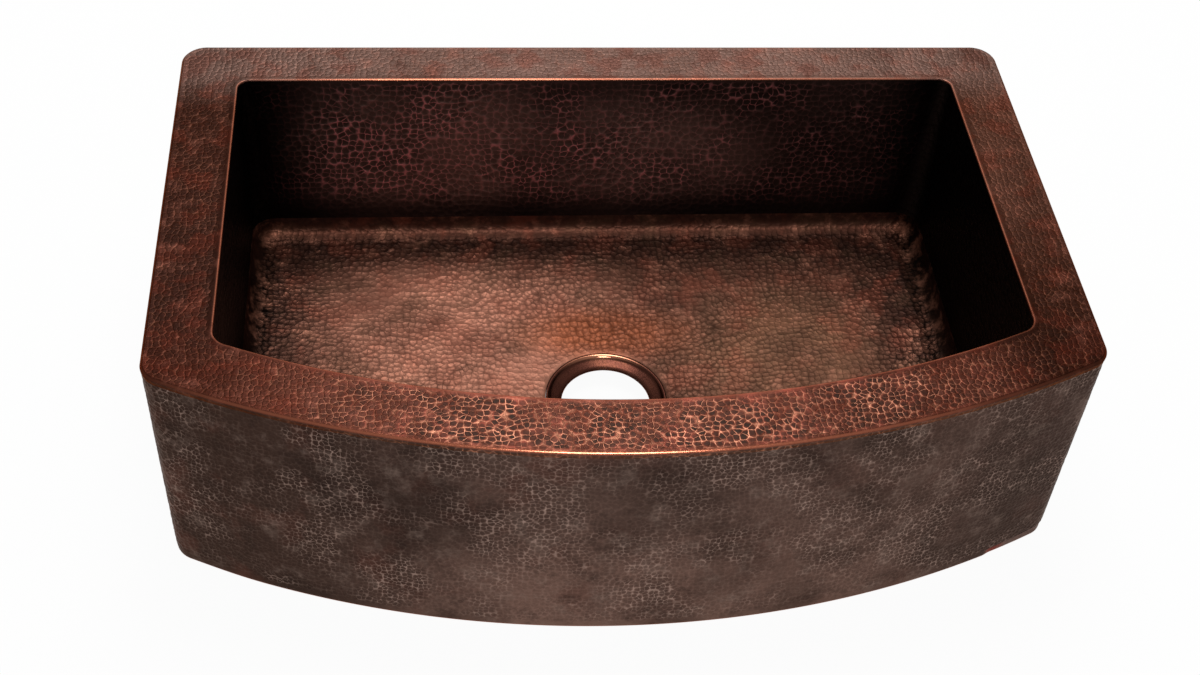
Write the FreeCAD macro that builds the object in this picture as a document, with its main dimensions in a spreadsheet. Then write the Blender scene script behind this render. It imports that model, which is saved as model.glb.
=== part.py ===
import FreeCAD, Part
import math
import os

from FreeCAD import Rotation, Vector
import Sketcher

# Farmhouse sink with a bowed apron, welded from copper sheet. Millimetres, +Z up.
# The origin is at the middle of the footprint, on the surface that the sink stands on.
# The apron faces -Y.

doc = FreeCAD.newDocument("apron_sink")

# ---------------------------------------------------------------- driving dimensions

SIZES = {
    # outline of the rim
    "overall_width": 838,          # 33 inches
    "side_depth": 451.5,           # back edge to the front corners
    "bow_rise": 97.5,              # how far the front bows out past its corners
    "overall_height": 248,
    "rim_corner": 24,
    "rim_back_width": 56,
    "rim_side_width": 58,
    "rim_front_width": 60,
    "rim_edge_drop": 7,            # depth of the rim's turned-down edge
    "rim_edge_round": 3,
    # sheet
    "sheet_gauge": 2,
    # bowl
    "bowl_corner": 18,             # of the opening, the walls and the cove, so corners are balls
    "bowl_depth": 209,             # rim's top to the floor beside the walls
    "cove_upstand": 6,             # straight lip above the cove, where the walls are welded on
    "wall_seam_setback": 32,       # distance of a wall's vertical seam from the bowl's corner
    "floor_fall": 13,              # from the walls to the level seat of the drain collar
    "collar_seat_margin": 6,       # level floor left round the collar
    # drain
    "drain_from_back": 289,        # rim's back edge to the drain's axis
    "drain_hole_diameter": 90,
    "collar_diameter": 122.5,
    "collar_lip_width": 2.5,
    "collar_wall_drop": 4,
    "collar_wall_lean": 1.5,
    "collar_recess": 6.5,          # floor to the edge of the drain hole
    "collar_lip_bevel": 0.8,
    # apron
    "apron_inset": 0.5,            # how far the apron stands back from the rim's edge above it
    "hem_height": 8,
    "hem_round": 3,
    "hem_width": 26,
    "hem_inner_corner": 8,
    "return_length": 180,
    "return_corner": 30,
    # ties between the apron and the bowl
    "tie_level": 96,
    "tie_height": 30,
    "tie_tab": 24,
    "tie_spread": 15,              # degrees from one tie to the next, about the bow's centre
    "tie_count": 3,
}

sheet = doc.addObject("Spreadsheet::Sheet", "sizes")
for row, (alias, number) in enumerate(SIZES.items(), start=1):
    sheet.set(f"A{row}", alias)
    sheet.set(f"B{row}", str(number))
    sheet.setAlias(f"B{row}", alias)
doc.recompute()

# ---------------------------------------------------------------- derived dimensions

HALF_WIDTH = "(sizes.overall_width / 2)"
BACK_EDGE = "((sizes.side_depth + sizes.bow_rise) / 2)"
BOW_RADIUS = f"(({HALF_WIDTH}^2 + sizes.bow_rise^2) / (2 * sizes.bow_rise))"
BOW_CENTRE = f"({BOW_RADIUS} - {BACK_EDGE})"
RIM_TOP = "sizes.overall_height"
RIM_UNDERSIDE = "(sizes.overall_height - sizes.sheet_gauge)"
FLOOR_LEVEL = "(sizes.overall_height - sizes.bowl_depth)"
APRON_TOP = "(sizes.overall_height - sizes.rim_edge_drop)"  # welded on under the rim's edge
PAN_TOP = f"({FLOOR_LEVEL} + sizes.bowl_corner + sizes.cove_upstand)"
LIP_LEVEL = f"({FLOOR_LEVEL} - sizes.floor_fall)"
DRAIN_AXIS = f"({BACK_EDGE} - sizes.drain_from_back)"
COLLAR_RADIUS = "(sizes.collar_diameter / 2)"
SEAT_REACH = f"({COLLAR_RADIUS} + sizes.collar_seat_margin)"
FAR = "(sizes.overall_width + sizes.side_depth)"  # further out than any part of the sink


def value(text):
    """The number that an expression stands for."""
    return float(sheet.evalExpression(text))


def corner_level(side_inset, front_inset, corner):
    """Y of the point where a side meets the round of its front corner."""
    reach = f"({BOW_RADIUS} - ({front_inset}) - ({corner}))"
    across = f"({HALF_WIDTH} - ({side_inset}) - ({corner}))"
    return f"({BOW_CENTRE} - sqrt({reach}^2 - {across}^2))"


# The apron's sides begin where the rim's front corners end.
CORNER_END = corner_level("0", "0", "sizes.rim_corner")

# ---------------------------------------------------------------- helpers

TOUCHING = 1e-4  # two levels closer than this are one
UPWARDS = Rotation(Vector(0, 1, 0), Vector(0, 0, 1))


def origin_plane(body, role):
    """One of a body's own three planes."""
    return next(plane for plane in body.Origin.OriginFeatures if plane.Role == role)


def new_body(label):
    body = doc.addObject("PartDesign::Body", label + "_body")
    body.Label = label
    return body


def new_sketch(body, name, level, role="XY_Plane"):
    """A sketch on one of the body's planes, moved along the plane's normal to a level."""
    sketch = body.newObject("Sketcher::SketchObject", name)
    sketch.AttachmentSupport = [(origin_plane(body, role), "")]
    sketch.MapMode = "FlatFace"
    sketch.setExpression("AttachmentOffset.Base.z", level)
    return sketch


def limit(sketch, name, text, kind, *where):
    """A named dimension of a sketch, bound to the sheet."""
    number = sketch.addConstraint(Sketcher.Constraint(kind, *where, value(text)))
    sketch.renameConstraint(number, name)
    sketch.setExpression(f"Constraints.{name}", text)


def join(sketch, kind, *pairs):
    for pair in pairs:
        sketch.addConstraint(Sketcher.Constraint(kind, *pair))


def segment(sketch, start, end):
    return sketch.addGeometry(Part.LineSegment(Vector(*start), Vector(*end)))


def round_part(sketch, centre, radius, start, end):
    circle = Part.Circle(Vector(*centre), Vector(0, 0, 1), radius)
    return sketch.addGeometry(Part.ArcOfCircle(circle, start, end))


def bind_outline(sketch, sides, half, back, bow):
    """Holds an outline's back, right, bowed and left sides to their three distances."""
    top, right, bowed, left = sides
    join(sketch, "Horizontal", (top,))
    join(sketch, "Vertical", (right,), (left,))
    join(sketch, "PointOnObject", (bowed, 3, -2))
    limit(sketch, "half_right", half, "DistanceX", -1, 1, right, 1)
    limit(sketch, "half_left", half, "DistanceX", left, 1, -1, 1)
    limit(sketch, "back", back, "DistanceY", -1, 1, top, 1)
    limit(sketch, "bow_centre", BOW_CENTRE, "DistanceY", -1, 1, bowed, 3)
    limit(sketch, "bow_radius", bow, "Radius", bowed)


def outline_reach(inset):
    """Half width, back edge and bow radius of an outline that stands inside the rim's edge."""
    back_inset, side_inset, front_inset = inset
    return (
        f"{HALF_WIDTH} - ({side_inset})",
        f"{BACK_EDGE} - ({back_inset})",
        f"{BOW_RADIUS} - ({front_inset})",
    )


def plan_outline(body, name, level, inset, corner):
    """The sink's outline seen from above: straight back and sides, a bowed front, round corners.

    inset gives how far the back, the sides and the front stand inside the rim's edge.
    """
    sketch = new_sketch(body, name, level)
    reach = outline_reach(inset)
    half, back, bow = (value(text) for text in reach)
    radius, centre = value(corner), value(BOW_CENTRE)
    front = value(corner_level(inset[1], inset[2], corner))
    turn = math.atan2(front - centre, half - radius)

    top = segment(sketch, (radius - half, back, 0), (half - radius, back, 0))
    back_right = round_part(
        sketch, (half - radius, back - radius, 0), radius, 0, math.pi / 2
    )
    right = segment(sketch, (half, back - radius, 0), (half, front, 0))
    front_right = round_part(sketch, (half - radius, front, 0), radius, turn, 0)
    bowed = round_part(sketch, (0, centre, 0), bow, -math.pi - turn, turn)
    front_left = round_part(sketch, (radius - half, front, 0), radius, math.pi, math.pi - turn)
    left = segment(sketch, (-half, front, 0), (-half, back - radius, 0))
    back_left = round_part(
        sketch, (radius - half, back - radius, 0), radius, math.pi / 2, math.pi
    )

    join(
        sketch, "Tangent",
        (top, 2, back_right, 2), (back_right, 1, right, 1),
        (right, 2, front_right, 2), (front_right, 1, bowed, 2),
        (bowed, 1, front_left, 2), (front_left, 1, left, 1),
        (left, 2, back_left, 2), (back_left, 1, top, 1),
    )
    bind_outline(sketch, (top, right, bowed, left), *reach)
    for number, arc in enumerate((back_right, front_right, front_left, back_left)):
        limit(sketch, f"corner_{number}", corner, "Radius", arc)
    doc.recompute()
    return sketch


def sharp_outline(body, name, level, inset):
    """The same outline with sharp corners."""
    sketch = new_sketch(body, name, level)
    reach = outline_reach(inset)
    half, back, bow = (value(text) for text in reach)
    centre = value(BOW_CENTRE)
    front = centre - math.sqrt(bow**2 - half**2)
    turn = math.atan2(front - centre, half)

    top = segment(sketch, (-half, back, 0), (half, back, 0))
    right = segment(sketch, (half, back, 0), (half, front, 0))
    bowed = round_part(sketch, (0, centre, 0), bow, -math.pi - turn, turn)
    left = segment(sketch, (-half, front, 0), (-half, back, 0))

    join(
        sketch, "Coincident",
        (top, 2, right, 1), (right, 2, bowed, 2), (bowed, 1, left, 1), (left, 2, top, 1),
    )
    bind_outline(sketch, (top, right, bowed, left), *reach)
    doc.recompute()
    return sketch


def pad(body, sketch, length):
    feature = body.newObject("PartDesign::Pad", sketch.Name + "_pad")
    feature.Profile = sketch
    feature.setExpression("Length", length)
    doc.recompute()
    return feature


def pocket(body, sketch, depth):
    """Cuts downwards from the sketch, and makes sure that something was cut."""
    before = body.Shape.Volume
    feature = body.newObject("PartDesign::Pocket", sketch.Name + "_cut")
    feature.Profile = sketch
    feature.setExpression("Length", depth)
    doc.recompute()
    assert body.Shape.Volume < before, f"{sketch.Name} cuts nothing"
    return feature


def edges_at(shape, level):
    """Names of the edges that lie level at a height."""
    names = []
    for number, edge in enumerate(shape.Edges, start=1):
        box = edge.BoundBox
        if abs(box.ZMin - level) < TOUCHING and abs(box.ZMax - level) < TOUCHING:
            names.append(f"Edge{number}")
    return names


def upright_edges(shape):
    """Names of the straight edges that stand upright."""
    names = []
    for number, edge in enumerate(shape.Edges, start=1):
        box = edge.BoundBox
        if box.XLength < TOUCHING and box.YLength < TOUCHING:
            names.append(f"Edge{number}")
    return names


def fillet(body, base, edges, radius, name):
    assert edges, f"{name} finds no edge"
    feature = body.newObject("PartDesign::Fillet", name)
    feature.Base = (base, edges)
    feature.setExpression("Radius", radius)
    doc.recompute()
    return feature


def level_box(name, low, high):
    """A box between two corners given as expressions, used to part a ring at its seams."""
    box = doc.addObject("Part::Box", name)
    for size, axis, start, end in zip(("Length", "Width", "Height"), "xyz", low, high):
        box.setExpression(size, f"({end}) - ({start})")
        box.setExpression(f"Placement.Base.{axis}", start)
    return box


def part_of(label, ring, region):
    """The stretch of a ring inside a region, as a piece of its own."""
    piece = doc.addObject("Part::Common", label + "_piece")
    piece.Label = label
    piece.Base = ring
    piece.Tool = region
    doc.recompute()
    return piece


def joined(label, parts):
    """Several solids made one."""
    whole = doc.addObject("Part::MultiFuse", label)
    whole.Shapes = parts
    doc.recompute()
    return whole


def hollowed(label, outside, inside):
    """A block less the hollow inside it."""
    shell = doc.addObject("Part::Cut", label + "_shell")
    shell.Label = label
    shell.Base = outside
    shell.Tool = inside
    doc.recompute()
    return shell


def all_in(text):
    """The same inset on every side."""
    return (text, text, text)


def bent_block(name, low, high, inset, bend, corner=None):
    """A block with the sink's outline whose lower edge is rounded all the way round.

    A block with no corner radius of its own has its upright edges rounded like its lower one.
    """
    body = new_body(name)
    if corner:
        outline = plan_outline(body, name + "_outline", low, inset, corner)
    else:
        outline = sharp_outline(body, name + "_outline", low, inset)
    block = pad(body, outline, f"{high} - {low}")
    bends = edges_at(block.Shape, value(low))
    if not corner:
        bends += upright_edges(block.Shape)
    fillet(body, block, bends, bend, name + "_bend")
    return body


pieces = []

# ---------------------------------------------------------------- rim

OPENING_INSET = ("sizes.rim_back_width", "sizes.rim_side_width", "sizes.rim_front_width")
BOWL_CORNER = "sizes.bowl_corner"


def make_rim_ring():
    """The whole rim before it is parted at its seams: flat top and turned-down edge."""
    body = new_body("rim_ring")
    low = f"{RIM_TOP} - sizes.rim_edge_drop"
    outer = plan_outline(body, "rim_outline", low, all_in("0"), "sizes.rim_corner")
    plate = pad(body, outer, "sizes.rim_edge_drop")
    upper_edges = edges_at(plate.Shape, value(RIM_TOP))
    fillet(body, plate, upper_edges, "sizes.rim_edge_round", "rim_edge_fillet")
    inner = plan_outline(
        body, "rim_hollow", RIM_UNDERSIDE,
        all_in("sizes.sheet_gauge"), "sizes.rim_corner - sizes.sheet_gauge",
    )
    pocket(body, inner, "sizes.rim_edge_drop - sizes.sheet_gauge")
    opening = plan_outline(body, "rim_opening", RIM_TOP, OPENING_INSET, BOWL_CORNER)
    pocket(body, opening, "sizes.rim_edge_drop")
    return body


def make_rim():
    ring = make_rim_ring()
    low = f"{RIM_TOP} - 2 * sizes.rim_edge_drop"
    high = f"{RIM_TOP} + sizes.rim_edge_drop"
    # the back seams run on from the opening's back edge
    back_seam = f"{BACK_EDGE} - sizes.rim_back_width"
    front_corner = corner_level("sizes.rim_side_width", "sizes.rim_front_width", BOWL_CORNER)
    front_seam = f"{front_corner} + {BOWL_CORNER} / 2"
    regions = {
        "rim_back": ((f"-{FAR}", back_seam, low), (FAR, FAR, high)),
        "rim_left": ((f"-{FAR}", front_seam, low), ("0", back_seam, high)),
        "rim_right": (("0", front_seam, low), (FAR, back_seam, high)),
        "rim_front": ((f"-{FAR}", f"-{FAR}", low), (FAR, front_seam, high)),
    }
    for label, (low_corner, high_corner) in regions.items():
        region = level_box(label + "_region", low_corner, high_corner)
        pieces.append(part_of(label, ring, region))


# ---------------------------------------------------------------- bowl walls

WALL_INSET = tuple(f"{inset} - sizes.sheet_gauge" for inset in OPENING_INSET)


def make_wall_ring():
    """The four walls in one ring, from the rim's underside down to the floor pan."""
    body = new_body("wall_ring")
    outside = plan_outline(
        body, "wall_outside", PAN_TOP, WALL_INSET, f"{BOWL_CORNER} + sizes.sheet_gauge"
    )
    pad(body, outside, f"{RIM_UNDERSIDE} - {PAN_TOP}")
    inside = plan_outline(body, "wall_inside", RIM_UNDERSIDE, OPENING_INSET, BOWL_CORNER)
    pocket(body, inside, f"{RIM_UNDERSIDE} - {PAN_TOP}")
    return body


def make_walls():
    """The side walls take the bent corners with them; the seams stand clear of the corners."""
    ring = make_wall_ring()
    low, high = FLOOR_LEVEL, RIM_TOP
    seam = f"({HALF_WIDTH} - sizes.rim_side_width - sizes.wall_seam_setback)"
    regions = {
        "bowl_back_wall": ((f"-{seam}", "0", low), (seam, FAR, high)),
        "bowl_front_wall": ((f"-{seam}", f"-{FAR}", low), (seam, "0", high)),
        "bowl_left_wall": ((f"-{FAR}", f"-{FAR}", low), (f"-{seam}", FAR, high)),
        "bowl_right_wall": ((seam, f"-{FAR}", low), (FAR, FAR, high)),
    }
    for label, (low_corner, high_corner) in regions.items():
        region = level_box(label + "_region", low_corner, high_corner)
        pieces.append(part_of(label, ring, region))


# ---------------------------------------------------------------- floor pan


def floor_fall(name, sunk):
    """The fall from the coves to the level seat of the drain collar, sunk by a depth.

    The back and the sides slope as planes. The front slopes as a cone about the bow's centre,
    so that its level lines run along the bowed wall.
    """
    back_inset, side_inset, front_inset = OPENING_INSET
    foot = f"{LIP_LEVEL} - {sunk}"
    slopes = doc.addObject("Part::Wedge", name + "_slopes")
    slopes.setExpression("Ymin", foot)
    slopes.setExpression("Ymax", f"{foot} + sizes.floor_fall")
    side = f"{HALF_WIDTH} - {side_inset} - {BOWL_CORNER}"
    for prefix, half, back in (
        ("", SEAT_REACH, f"{DRAIN_AXIS} + {SEAT_REACH}"),
        ("2", f"({side})", f"({BACK_EDGE} - {back_inset} - {BOWL_CORNER})"),
    ):
        slopes.setExpression(f"X{prefix}min", f"-{half}")
        slopes.setExpression(f"X{prefix}max", half)
        slopes.setExpression(f"Z{prefix}min", f"-({back})")
        slopes.setExpression(f"Z{prefix}max", FAR)
    # the wedge tapers along its own Y, which is turned to point up
    slopes.Placement.Rotation = UPWARDS
    front = doc.addObject("Part::Cone", name + "_front")
    front.setExpression("Radius1", f"{BOW_CENTRE} - {DRAIN_AXIS} + {SEAT_REACH}")
    front.setExpression("Radius2", f"{BOW_RADIUS} - {front_inset} - {BOWL_CORNER}")
    front.setExpression("Height", "sizes.floor_fall")
    front.setExpression("Placement.Base.y", BOW_CENTRE)
    front.setExpression("Placement.Base.z", foot)
    return part_of(name, slopes, front)


def make_floor():
    """The pan: coves on all sides, a floor that falls to the drain, and the collar's opening."""
    gauge = "sizes.sheet_gauge"
    below_seat = f"({LIP_LEVEL} - 2 * {gauge})"
    pan_outside = bent_block(
        "pan_outside", f"({FLOOR_LEVEL} - {gauge})", PAN_TOP, WALL_INSET, f"{BOWL_CORNER} + {gauge}"
    )
    outside = joined("pan_block", [pan_outside, floor_fall("fall_outside", gauge)])
    pan_inside = bent_block("pan_inside", FLOOR_LEVEL, RIM_TOP, OPENING_INSET, BOWL_CORNER)
    opening = doc.addObject("Part::Cylinder", "collar_opening")
    opening.setExpression("Radius", COLLAR_RADIUS)
    opening.setExpression("Height", f"{PAN_TOP} - {below_seat}")
    opening.setExpression("Placement.Base.y", DRAIN_AXIS)
    opening.setExpression("Placement.Base.z", below_seat)
    inside = joined("pan_hollow", [pan_inside, floor_fall("fall_inside", "0"), opening])
    pieces.append(hollowed("bowl_floor", outside, inside))


# ---------------------------------------------------------------- drain collar


def polygon(sketch, corners):
    """A closed outline of straight lines through corners given as pairs of expressions."""
    points = [(value(across), value(up), 0) for across, up in corners]
    lines = [segment(sketch, start, end) for start, end in zip(points, points[1:] + points[:1])]
    for line, following in zip(lines, lines[1:] + lines[:1]):
        join(sketch, "Coincident", (line, 2, following, 1))
    for number, (line, (across, up)) in enumerate(zip(lines, corners)):
        limit(sketch, f"across_{number}", across, "DistanceX", -1, 1, line, 1)
        limit(sketch, f"up_{number}", up, "DistanceY", -1, 1, line, 1)
    doc.recompute()
    return lines


def make_collar():
    """The spun ring: a lip flush with the floor, a steep step and a shallow cone to the hole."""
    body = new_body("drain_collar")
    gauge, bevel = "sizes.sheet_gauge", "sizes.collar_lip_bevel"
    step_top = f"{COLLAR_RADIUS} - sizes.collar_lip_width"
    step_foot = f"{step_top} - sizes.collar_wall_lean"
    step_level = f"{LIP_LEVEL} - sizes.collar_wall_drop"
    hole = "sizes.drain_hole_diameter / 2"
    hole_level = f"{LIP_LEVEL} - sizes.collar_recess"
    profile = new_sketch(body, "collar_profile", f"-{DRAIN_AXIS}", "XZ_Plane")
    polygon(profile, [
        (COLLAR_RADIUS, LIP_LEVEL),
        (f"{step_top} + {bevel}", LIP_LEVEL),
        (step_top, f"{LIP_LEVEL} - {bevel}"),
        (step_foot, step_level),
        (hole, hole_level),
        (hole, f"{hole_level} - {gauge}"),
        (f"{step_foot} + {gauge} / 2", f"{step_level} - {gauge}"),
        (f"{step_top} + {gauge}", f"{LIP_LEVEL} - {gauge}"),
        (COLLAR_RADIUS, f"{LIP_LEVEL} - {gauge}"),
    ])
    ring = body.newObject("PartDesign::Revolution", "collar_ring")
    ring.Profile = profile
    ring.ReferenceAxis = (profile, ["V_Axis"])
    ring.Angle = 360
    doc.recompute()
    pieces.append(body)


# ---------------------------------------------------------------- apron

APRON_CORNER = "sizes.rim_corner - sizes.apron_inset"


def front_region(name, low, high):
    """Everything in front of the line where the apron's sides begin."""
    return level_box(name, (f"-{FAR}", f"-{FAR}", low), (FAR, CORNER_END, high))


def make_apron_front():
    """The bowed panel with both corner bends, from the hem up to the rim's turned-down edge."""
    body = new_body("apron_ring")
    gauge = "sizes.sheet_gauge"
    outer = plan_outline(
        body, "apron_outside", "sizes.hem_height", all_in("sizes.apron_inset"), APRON_CORNER
    )
    pad(body, outer, f"{APRON_TOP} - sizes.hem_height")
    inner = plan_outline(
        body, "apron_inside", APRON_TOP,
        all_in(f"sizes.apron_inset + {gauge}"), f"{APRON_CORNER} - {gauge}",
    )
    pocket(body, inner, f"{APRON_TOP} - sizes.hem_height")
    pieces.append(part_of("apron_front", body, front_region("apron_region", "0", RIM_TOP)))


def make_hem():
    """The apron's lower edge: a rounded bend and a flange turned in under the apron."""
    gauge = "sizes.sheet_gauge"
    outside = bent_block(
        "hem_outside", "0", "sizes.hem_height",
        all_in("sizes.apron_inset"), "sizes.hem_round", APRON_CORNER,
    )
    inside = bent_block(
        "hem_inside", gauge, "(2 * sizes.hem_height)",
        all_in(f"sizes.apron_inset + {gauge}"), f"sizes.hem_round - {gauge}",
        f"{APRON_CORNER} - {gauge}",
    )
    opening = plan_outline(
        inside, "hem_opening", f"-{gauge}",
        all_in("sizes.apron_inset + sizes.hem_width"), "sizes.hem_inner_corner",
    )
    pad(inside, opening, f"3 * {gauge}")
    ring = hollowed("hem_ring", outside, inside)
    region = front_region("hem_region", "-sizes.hem_height", "2 * sizes.hem_height")
    pieces.append(part_of("apron_bottom_hem", ring, region))


def make_return(label, level):
    """An end plate of the apron, standing on its lower edge along the side of the bowl."""
    body = new_body(label)
    plate = new_sketch(body, label + "_profile", level, "YZ_Plane")
    rear_text = f"{CORNER_END} + sizes.return_length"
    start, rear, top = value(CORNER_END), value(rear_text), value(APRON_TOP)
    corner = value("sizes.return_corner")
    bottom = segment(plate, (start, 0, 0), (rear - corner, 0, 0))
    bend = round_part(plate, (rear - corner, corner, 0), corner, -math.pi / 2, 0)
    back = segment(plate, (rear, corner, 0), (rear, top, 0))
    upper = segment(plate, (rear, top, 0), (start, top, 0))
    front = segment(plate, (start, top, 0), (start, 0, 0))
    join(plate, "Tangent", (bottom, 2, bend, 1), (bend, 2, back, 1))
    join(plate, "Coincident", (back, 2, upper, 1), (upper, 2, front, 1), (front, 2, bottom, 1))
    join(plate, "Horizontal", (bottom,), (upper,))
    join(plate, "Vertical", (back,), (front,))
    join(plate, "PointOnObject", (bottom, 1, -1))
    limit(plate, "front_edge", CORNER_END, "DistanceX", -1, 1, bottom, 1)
    limit(plate, "rear_edge", rear_text, "DistanceX", -1, 1, back, 2)
    limit(plate, "top", APRON_TOP, "DistanceY", -1, 1, upper, 1)
    limit(plate, "corner", "sizes.return_corner", "Radius", bend)
    doc.recompute()
    pad(body, plate, "sizes.sheet_gauge")
    pieces.append(body)


def make_ties():
    """Straps from the bowl's front wall to the apron, each with a tab welded to either face."""
    body = new_body("apron_ties")
    body.AllowCompound = True
    gauge = "sizes.sheet_gauge"
    strap = new_sketch(body, "tie_profile", "sizes.tie_level")
    # the sketch's origin is the bow's centre, and it is turned to the first strap
    strap.setExpression("AttachmentOffset.Base.y", BOW_CENTRE)
    strap.setExpression(
        "AttachmentOffset.Rotation.Angle", "-sizes.tie_spread * (sizes.tie_count - 1) / 2"
    )
    wall = f"{BOW_RADIUS} - sizes.rim_front_width + {gauge}"
    apron = f"{BOW_RADIUS} - sizes.apron_inset - {gauge}"
    radii = [wall, f"{wall} + {gauge}", apron, f"{apron} - {gauge}"]
    stops = [
        (f"-{gauge} / 2", "sizes.tie_tab"), (f"{gauge} / 2", "sizes.tie_tab"),
        ("-sizes.tie_tab", f"{gauge} / 2"), ("-sizes.tie_tab", f"-{gauge} / 2"),
    ]
    arcs = []
    for number, (radius_text, span) in enumerate(zip(radii, stops)):
        radius = value(radius_text)
        turns = [math.asin(value(stop) / radius) - math.pi / 2 for stop in span]
        arc = round_part(strap, (0, 0, 0), radius, *turns)
        join(strap, "Coincident", (arc, 3, -1, 1))
        limit(strap, f"radius_{number}", radius_text, "Radius", arc)
        arcs.append(arc)
    wall_face, tab_face, apron_face, apron_tab = arcs
    shapes = strap.Geometry
    links = [
        (wall_face, 2, tab_face, 2), (tab_face, 1, apron_face, 2),
        (apron_face, 1, apron_tab, 1), (apron_tab, 2, wall_face, 1),
    ]
    for first, first_end, second, second_end in links:
        ends = [
            shapes[n].StartPoint if end == 1 else shapes[n].EndPoint
            for n, end in ((first, first_end), (second, second_end))
        ]
        side = segment(strap, tuple(ends[0]), tuple(ends[1]))
        join(strap, "Coincident", (first, first_end, side, 1), (side, 2, second, second_end))
        join(strap, "Vertical", (side,))
    limit(strap, "tab_end", "sizes.tie_tab", "DistanceX", -1, 1, wall_face, 2)
    limit(strap, "web_left", f"{gauge} / 2", "DistanceX", wall_face, 1, -1, 1)
    limit(strap, "web_right", f"{gauge} / 2", "DistanceX", -1, 1, tab_face, 1)
    limit(strap, "tab_start", "sizes.tie_tab", "DistanceX", apron_face, 1, -1, 1)
    doc.recompute()
    first = pad(body, strap, "sizes.tie_height")
    row = body.newObject("PartDesign::PolarPattern", "tie_row")
    row.Originals = [first]
    row.Axis = (strap, ["N_Axis"])
    row.setExpression("Angle", "sizes.tie_spread * (sizes.tie_count - 1)")
    row.setExpression("Occurrences", "sizes.tie_count")
    body.Tip = row
    doc.recompute()
    pieces.append(body)


# ---------------------------------------------------------------- the whole sink

make_rim()
make_walls()
make_floor()
make_collar()
make_apron_front()
make_hem()
make_return("apron_left_return", f"sizes.apron_inset - {HALF_WIDTH}")
make_return("apron_right_return", f"{HALF_WIDTH} - sizes.apron_inset - sizes.sheet_gauge")
make_ties()
doc.recompute()

for thing in doc.Objects:
    state = set(thing.State)
    if state & {"Invalid", "Error"}:
        raise RuntimeError(f"{thing.Label} failed: {sorted(state)}")

os.makedirs("parts", exist_ok=True)
for piece in pieces:
    shape = piece.Shape
    if shape.isNull() or not shape.isValid() or not shape.Solids:
        raise RuntimeError(f"{piece.Label} has no sound solid")
    shape.exportStep(f"parts/{piece.Label}.step")
    print(f"{piece.Label}: {len(shape.Solids)} solid, {shape.Volume:.0f} mm3")
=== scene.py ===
import math

import bpy
import numpy as np
from mathutils import Matrix, Vector


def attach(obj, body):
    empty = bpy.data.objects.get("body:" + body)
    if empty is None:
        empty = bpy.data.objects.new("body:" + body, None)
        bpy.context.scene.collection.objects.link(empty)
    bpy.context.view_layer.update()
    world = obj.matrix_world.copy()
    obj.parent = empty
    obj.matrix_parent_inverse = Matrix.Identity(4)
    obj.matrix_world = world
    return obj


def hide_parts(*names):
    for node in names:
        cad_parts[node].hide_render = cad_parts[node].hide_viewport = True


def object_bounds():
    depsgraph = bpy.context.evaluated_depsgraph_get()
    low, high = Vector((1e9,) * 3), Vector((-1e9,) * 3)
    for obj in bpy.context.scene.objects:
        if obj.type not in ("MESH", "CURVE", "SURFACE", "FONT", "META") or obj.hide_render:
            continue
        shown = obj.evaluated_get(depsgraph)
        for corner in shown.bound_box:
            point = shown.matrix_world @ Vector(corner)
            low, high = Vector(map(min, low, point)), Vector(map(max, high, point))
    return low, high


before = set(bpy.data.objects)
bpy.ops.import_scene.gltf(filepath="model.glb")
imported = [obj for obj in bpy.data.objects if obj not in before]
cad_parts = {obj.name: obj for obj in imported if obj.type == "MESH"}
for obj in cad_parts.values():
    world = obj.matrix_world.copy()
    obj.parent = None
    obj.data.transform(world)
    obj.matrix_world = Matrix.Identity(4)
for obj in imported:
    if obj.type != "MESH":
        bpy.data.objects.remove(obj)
cad_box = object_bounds()

MM = 0.001

# ---------------- sizes in millimetres

# the rim and its bow
HALF_WIDTH = 419.0
BACK_EDGE = 274.5
SIDE_DEPTH = 451.5
BOW_RISE = 97.4  # 0.1 less than the solids', so that the skins stay inside their box
GAUGE = 2.0
RIM_TOP = 248.0
RIM_UNDERSIDE = RIM_TOP - GAUGE
RIM_CORNER = 24.0
RIM_BACK = 56.0
RIM_SIDE = 58.0
RIM_FRONT = 60.0
RIM_DROP = 7.0
RIM_ROUND = 3.0
LIP_ROUND = 1.3
NOSE_FLAT = 1.5  # the power of the nose's curve: 1 is a true round, 2 a plain chamfer
SEAM_Y = -117.13  # where the side strips meet the front strip
FAN_WIDTH = 8.0  # how much of the opening's edge each rear corner's sections start from
LEAST_SLANT = 0.34  # keeps a section that runs far aslant from being stretched too much

SIDE_FRONT = BACK_EDGE - SIDE_DEPTH
BOW_RADIUS = (HALF_WIDTH ** 2 + BOW_RISE ** 2) / (2 * BOW_RISE)
BOW_Y = SIDE_FRONT - BOW_RISE + BOW_RADIUS

# the bowl's opening and its walls, whose corners get wider towards the floor
OPEN_HALF = HALF_WIDTH - RIM_SIDE
OPEN_BACK = BACK_EDGE - RIM_BACK
OPEN_BOW = BOW_RADIUS - RIM_FRONT
CORNER_BACK_TOP = 12.0
CORNER_FRONT_TOP = 18.0
CORNER_LOW = 23.0
SEAM_X = 329.0
SEAM_ANGLE = math.asin(SEAM_X / OPEN_BOW)

# the floor pan, which falls from its cove to the seat round the drain
PAN_TOP = 63.0
PAN_UPRIGHT = (60.0, PAN_TOP)
FLOOR_LEVEL = 39.0
COVE = 18.0
COVE_TURNS = np.radians(np.linspace(0, 90, 13)[1:])
SEAT_LEVEL = 26.0
SEAT_HALF = 67.25
SEAT_BACK = 52.75
SEAT_BOW = 756.4
SEAT_EASE = 0.035  # how gently the fall runs out at the seat, as a share of it
FLOOR_ROWS = 74
LIP_ROWS = 2
LIP_GAP = 0.6
LIP_ROLL = 0.5
DRAIN_Y = -14.5
DRAIN_RADIUS = 45.0
COLLAR_RADIUS = 61.25

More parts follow.
